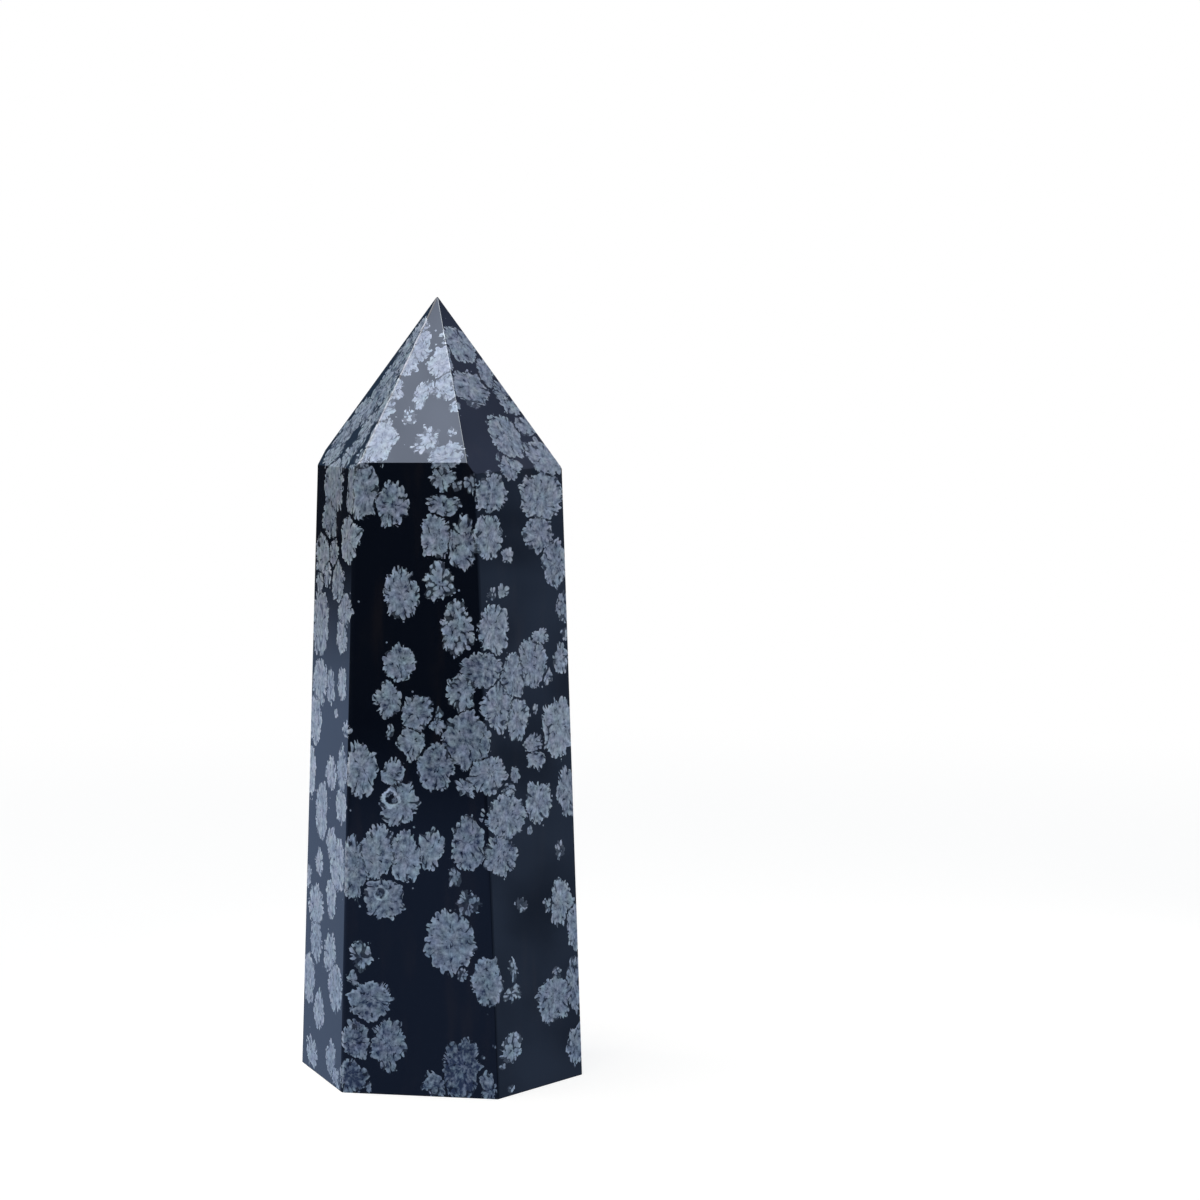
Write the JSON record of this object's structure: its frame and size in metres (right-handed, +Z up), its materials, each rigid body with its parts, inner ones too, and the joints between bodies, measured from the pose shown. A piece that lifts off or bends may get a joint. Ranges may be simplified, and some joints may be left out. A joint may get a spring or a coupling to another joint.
{
  "type": "snowflake obsidian point",
  "caption": "Polished hexagonal point of black volcanic glass with grey snowflake patches, narrowing to a faceted tip, standing on its flat foot.",
  "frame": {"origin": "middle of the flat foot, on the surface that the stone stands on", "axes": "+Z up along the stone towards its tip, -Y towards the widest-open face that the picture shows"},
  "size_m": [0.0294, 0.0268, 0.08],
  "materials": {
    "obsidian": "polished black volcanic glass with grey-blue snowflake patches"
  },
  "bodies": {
    "root": {"point": "obsidian"}
  },
  "joints": []
}
